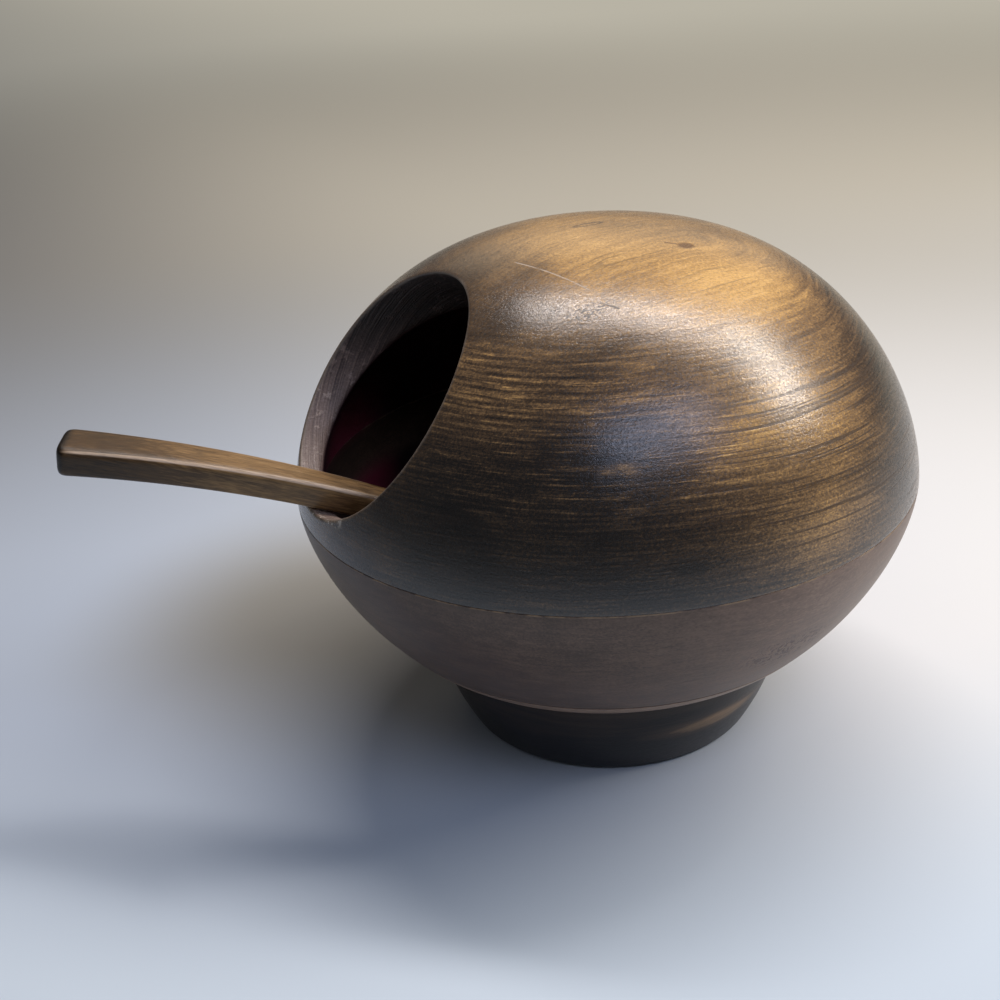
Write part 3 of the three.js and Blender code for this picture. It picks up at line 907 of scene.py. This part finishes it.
def lowerWood():
    material, desk = newMaterial("lowerWood")
    look = lowerLook
    place = inMillimetres(desk)
    x, y, z = split(place)
    cloud = noise(place, 0.03, 3.0)
    mottle = noise(stretched(place, 1, 1, 1.6), 0.22, 4.0, 0.62)
    fibre = noise(joined(desk, x * 0.07, y * 0.12, z + varied(cloud, 8)), 1.4, 3.0, 0.6)
    dots = noise(joined(desk, x * 0.6, y * 1.5, z * 1.5), 2.0, 3.0, 0.7)
    around = maths("SQRT", x * x + y * y)
    # Painted light and shade: the bevelled band is made lighter and the crease above it darker
    band = eased(z, bandTop + 0.1, bandTop - 0.4) * eased(around, 43.5, 44.5)
    groove = eased(maths("ABSOLUTE", z - (bandTop - 0.1)), 0.45, 0.1)
    # Painted light: the wood is made lighter towards the right front, where the window lamp shines
    light = eased(x * 0.8 - y * 0.5, -10, 62)
    pitted = eased(noise(place, 1.3, 2.0, 0.6), 0.5, 0.6) * patch(place, (6, -56.5, 38.5), (9, 7, 3.2))
    tone = 0.43 + varied(cloud, 0.3) + varied(mottle, 0.28) + varied(fibre, 0.24) + varied(dots, 0.5)
    tone = tone + band * 0.3 - groove * 0.35 + light * 0.33 - pitted * 0.2
    colour = mixed(pitted * 0.6, toned(tone, look["stops"]), look["pit"])
    # Painted shade: the inside of the hollow is made nearly black
    depth = around / bowl["radius"] + maths("ABSOLUTE", z - seam) * 0.0052
    hollowShade = eased(depth, 0.93, 0.9) * eased(z, 30, 31)
    colour = mixed(hollowShade, colour, hollowReddened(place, look["hollow"]))
    glue = eased(z, seam - 0.35, seam - 0.15) * eased(mottle, 0.44, 0.60)
    colour = mixed(glue * 0.6, colour, look["glue"])
    roughness = 0.42 + varied(dots, 0.2) + varied(mottle, 0.12)
    relief = varied(mottle, 0.4) + varied(dots, 0.8) + varied(fibre, 0.4) - pitted * 1.2
    finishWood(desk, colour, roughness, relief, look)
    return material


footLook = {
    "bump": 0.5, "depth": 0.08, "gloss": 1.42, "coat": 0.1, "coatRoughness": 0.25,
    "stops": [(0.0, (0.002, 0.002, 0.002)), (0.4, (0.009, 0.006, 0.005)), (0.7, (0.05, 0.029, 0.017)),
              (1.0, (0.36, 0.22, 0.11))],
}


def footWood():
    material, desk = newMaterial("footWood")
    look = footLook
    place = inMillimetres(desk)
    x, y, z = split(place)
    cloud = noise(place, 0.05, 3.0)
    fibre = noise(joined(desk, x * 0.05, y * 0.08, z), 0.9, 4.0, 0.6)
    dots = noise(joined(desk, x * 0.6, y * 1.5, z * 1.5), 1.7, 2.0, 0.6)
    # Painted highlight: a lighter band across the foot's front at mid height
    touchedUp = patch(place, (6, -36, 10.5), (16, 9, 2.0), 0.6)
    # Painted shade: the foot is made darker towards its bottom
    tone = 0.28 + z * 0.013 + varied(cloud, 0.3) + varied(fibre, 0.4) + varied(dots, 0.12) + touchedUp * 0.4
    roughness = 0.36 + varied(dots, 0.2)
    relief = varied(dots, 0.8) + varied(fibre, 0.5)
    finishWood(desk, toned(tone, look["stops"]), roughness, relief, look)
    return material


spoonLook = {
    "bump": 0.6, "depth": 0.1, "gloss": 1.42, "coat": 0.05, "coatRoughness": 0.25,
    "stops": [(0.0, (0.012, 0.006, 0.002)), (0.4, (0.095, 0.050, 0.018)), (0.7, (0.33, 0.19, 0.074)),
              (1.0, (0.62, 0.40, 0.20))],
    "paintedRidgeHighlight": (0.80, 0.62, 0.47),
}


def spoonWood():
    # Along the spoon x is 0 at the lip and grows outwards, y is across it, and z is up from the lip
    material, desk = newMaterial("spoonWood")
    look = spoonLook
    size = spoonSizes
    flat = attribute(desk, "flat", "Vector")
    x, y, z = split(flat)
    cloud = noise(flat, 0.06)
    grain = noise(joined(desk, x * 0.035, y + varied(cloud, 2), z), 0.9, 4.0, 0.6)
    fibre = noise(joined(desk, x * 0.09, y, z), 3.2, 3.0, 0.6)
    below = 0 - x * x / (2 * size["arc"]) - z
    widening = (size["endWidth"] - size["neckWidth"]) / 2 / (size["reach"] + size["neckInside"])
    half = (x + size["neckInside"]) * widening + size["neckWidth"] / 2
    # The handle's upper edges are painted pale as a painted highlight, from inside the lip nearly to its
    # end
    paintedRidgeHighlight = eased(half - maths("ABSOLUTE", y), 1.0, 0.7) * eased(below, 0.75, 0.5)
    paintedRidgeHighlight = paintedRidgeHighlight * eased(x, 45, 41) * eased(x, -14, -8)
    # Painted shade: the handle's sides are made darker than its top
    shadedFlank = eased(below, 0.7, 1.6)
    ended = eased(x, 43.0, 44.8)
    # Painted shade: the part of the spoon inside the mouth is made darker
    inside = eased(x, -2, -12)
    tone = 0.31 + varied(cloud, 0.35) + varied(grain, 0.5) + varied(fibre, 0.7) + eased(x, 37, 8) * 0.33
    tone = tone - ended * 0.42 - inside * 0.15 - shadedFlank * 0.10
    colour = mixed(paintedRidgeHighlight * (0.25 + fibre * 0.6), toned(tone, look["stops"]), look["paintedRidgeHighlight"])
    roughness = 0.38 + varied(fibre, 0.25) - paintedRidgeHighlight * 0.06
    relief = varied(grain, 0.6) + varied(fibre, 1.1)
    finishWood(desk, colour, roughness, relief, look)
    return material


# Making the pieces

print("finishes")
woods = {"upper": upperWood(), "lower": lowerWood(), "foot": footWood(), "spoon": spoonWood()}

print("bowl")
domeLengths = {
    "Radius": bowl["radius"], "Rise": bowl["domeRise"], "Hollow Radius": hollowRadius,
    "Hollow Rise": hollowRise, "Seam Height": seam, "Bore Radius": mouth["radius"],
    "Gauge": mouth["gauge"], "Axis Rise": mouth["rise"], "Sideways": mouth["sideways"],
    "Outer Rounding": mouth["outerRounding"], "Inner Rounding": mouth["innerRounding"],
    "Seam Bevel": bowl["seamBevel"],
}
waves = {"Wave Scale": bowl["waveScale"], "Wave Depth": bowl["waveDepth"]}
domeSizes = {
    **{name: length * mm for name, length in domeLengths.items()}, **waves,
    "Across": bowl["domeAcross"], "Up": bowl["domeUp"], "Flare": math.radians(mouth["flare"]),
    "Tilt": math.radians(mouth["tilt"]), "Flow X": mouth["flow"][0], "Flow Y": mouth["flow"][1],
    "Around": mouth["around"],
}
domeTree = boredDomeTree(woods["upper"])
upperPiece = facedOut(shapedBy("boredDome", domeTree, bpy.data.meshes.new("start"), domeSizes))

turnedSizes = {"Around": bowl["around"], "Seam Height": seam * mm, **waves}
bellyShape = profileMesh("bellyProfile", lowerProfile())
lowerPiece = facedOut(shapedBy("turnedBelly", turningTree(woods["lower"]), bellyShape, turnedSizes))

trueSizes = {**turnedSizes, "Wave Depth": 0.0}
footShape = profileMesh("footProfile", footProfile())
footPiece = facedOut(shapedBy("turnedFoot", turningTree(woods["foot"]), footShape, trueSizes))

print("spoon")
spoonObject = spoonPiece(woods["spoon"])

for piece, node, slot, body in ((upperPiece, "upper_body", "upper_wood", "bowl"),
                                (lowerPiece, "lower_body", "lower_wood", "bowl"),
                                (footPiece, "foot", "foot_wood", "bowl"),
                                (spoonObject, "spoon", "spoon_wood", "spoon")):
    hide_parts(node)
    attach(piece, body)


# Studio

studio = {
    "floorLeft": (0.54, 0.61, 0.72), "floorRight": (0.84, 0.84, 0.83), "floorFrontCoolShade": (0.64, 0.73, 0.82),
    "floorFarLeftShadow": (0.25, 0.245, 0.232), "floorFar": (0.53, 0.50, 0.42),
    "floorShade": (0.32, 0.30, 0.255), "outward": (0.62, 0.62, 0.62), "floorHalf": 4.0,
    "distanceLeftShadow": (0.21, 0.205, 0.19), "distance": (0.48, 0.45, 0.375),
    "world": (0.74, 0.77, 0.84), "worldStrength": 0.10,
}


def floorFinish():
    # A pale floor, cool at the left and warm far off, that fades into the distance; painted shadow lies
    # left of the bowl and far left, and a painted cool shade in front
    material, desk = newMaterial("paleFloor")
    place = desk.add("ShaderNodeTexCoord", {}, {}, "Object")
    x, y = split(place)[:2]
    reach = maths("SQRT", x * x + y * y)
    soft = varied(noise(place, 4.0), 0.1)
    across = eased(x * 0.9 - y * 0.43, -0.16, 0.14)
    near = mixed(clamped(across + soft), studio["floorLeft"], studio["floorRight"])
    # Painted shade: the front of the floor is made cool blue
    near = mixed(eased(x * 0.4 + y * 0.91, 0.02, -0.10), near, studio["floorFrontCoolShade"])
    near = mixed(eased(reach, 0.09, 0.40), near, vectors("MULTIPLY", near, studio["outward"]))
    # Painted shadow: a darker patch left of and behind the bowl
    shade = patch(place, (-0.045, 0.065, 0), (0.045, 0.045, 1), 0.7)
    near = mixed(shade * 0.9, near, studio["floorShade"])
    # Painted shadow: the far left of the floor is darker
    far = mixed(eased(x, -0.12, 0.16), studio["floorFarLeftShadow"], studio["floorFar"])
    away = eased(y * 0.9 + x * 0.2 + soft * 0.2, 0.02, 0.42)
    sockets = {"Base Color": mixed(away, near, far), "Roughness": 0.7}
    shader = desk.add("ShaderNodeBsdfPrincipled", {}, sockets)
    # Painted shadow: the distance is darker to the left
    beyond = mixed(eased(x, -0.3, 0.6), studio["distanceLeftShadow"], studio["distance"])
    haze = desk.add("ShaderNodeEmission", {}, {"Color": beyond, "Strength": 1.0})
    path = desk.add("ShaderNodeLightPath").socket.node
    seen = Wire(desk, path.outputs["Is Camera Ray"]) + Wire(desk, path.outputs["Is Glossy Ray"])
    seen = clamped(seen + Wire(desk, path.outputs["Is Transmission Ray"]))
    sockets = {"Fac": seen * eased(reach, 0.45, 1.3), 1: shader, 2: haze}
    both = desk.add("ShaderNodeMixShader", {}, sockets)
    desk.add("ShaderNodeOutputMaterial", {}, {"Surface": both})
    return material


def stageFloor():
    half = studio["floorHalf"]
    corners = [(-half, -half, 0), (half, -half, 0), (half, half, 0), (-half, half, 0)]
    mesh = bpy.data.meshes.new("floor")
    mesh.from_pydata(corners, [], [(0, 1, 2, 3)])
    mesh.materials.append(floorFinish())
    floor = bpy.data.objects.new("floor", mesh)
    bpy.context.collection.objects.link(floor)


lamps = {
    "window": {"towards": (0.70, -0.24, 0.67), "distance": 1.0, "size": (0.64, 0.22), "power": 6.1,
               "colour": (1.0, 0.94, 0.87), "along": (0.18, -0.46, -0.36)},
    "skylight": {"towards": (0.26, 0.23, 0.94), "distance": 1.1, "size": (0.92, 0.14), "power": 7.2,
                 "colour": (1.0, 0.94, 0.91), "along": (0.48, -0.38, 0.10)},
    "sky": {"towards": (0.02, -0.63, 0.77), "distance": 1.2, "size": (0.80, 0.34), "power": 3.2,
            "colour": (0.62, 0.72, 1.0), "along": (1, 0, 0)},
    "wall": {"towards": (0.50, 0.80, 0.40), "distance": 1.4, "size": (1.2, 0.5), "power": 1.2,
             "colour": (1.0, 0.84, 0.62), "along": (1, 0, 0)},
}


def softLamp(name, towards, distance, size, power, colour, along):
    # An area lamp at a distance from the bowl, its long side along the given direction
    lamp = bpy.data.lights.new(name, "AREA")
    lamp.shape = "RECTANGLE"
    lamp.size, lamp.size_y = size
    lamp.energy = power
    lamp.color = colour
    thing = bpy.data.objects.new(name, lamp)
    away = Vector(towards).normalized()
    middle = Vector((0, 0, 0.06))
    side = Vector(along)
    side = (side - away * side.dot(away)).normalized()
    turn = Matrix((side, away.cross(side), away)).transposed().to_4x4()
    thing.matrix_world = Matrix.Translation(middle + away * distance) @ turn
    bpy.context.collection.objects.link(thing)


def roomAir():
    # The camera sees the distance, and everything else gets a dim, even light
    world = bpy.data.worlds.new("room")
    bpy.context.scene.world = world
    world.use_nodes = True
    world.node_tree.nodes.clear()
    desk = Desk(world.node_tree)
    seen = Wire(desk, desk.add("ShaderNodeLightPath").socket.node.outputs["Is Camera Ray"])
    dim = tuple(part * studio["worldStrength"] for part in studio["world"])
    sockets = {"Color": mixed(seen, dim, studio["distance"]), "Strength": 1.0}
    air = desk.add("ShaderNodeBackground", {}, sockets)
    desk.add("ShaderNodeOutputWorld", {}, {"Surface": air})


# The camera's place in millimetres, and the directions of its picture's right and top and of its view
lens = {
    "focal": 50.0, "sensor": 36.0, "nearest": 0.01, "place": (-126.545, -233.094, 174.375),
    "right": (0.90106, -0.42923, -0.06201), "up": (0.23628, 0.36597, 0.90013),
    "ahead": (0.36367, 0.82572, -0.43118),
}


def photoCamera():
    camera = bpy.data.cameras.new("photo")
    camera.lens = lens["focal"]
    camera.sensor_width = lens["sensor"]
    camera.clip_start = lens["nearest"]
    view = bpy.data.objects.new("photo", camera)
    turn = Matrix((lens["right"], lens["up"], -Vector(lens["ahead"]))).transposed().to_4x4()
    view.matrix_world = Matrix.Translation(Vector(lens["place"]) * mm) @ turn
    bpy.context.collection.objects.link(view)
    bpy.context.scene.camera = view


print("studio")
stageFloor()
for name, lamp in lamps.items():
    softLamp(name, **lamp)
roomAir()
photoCamera()
bpy.context.scene.view_settings.view_transform = "Standard"
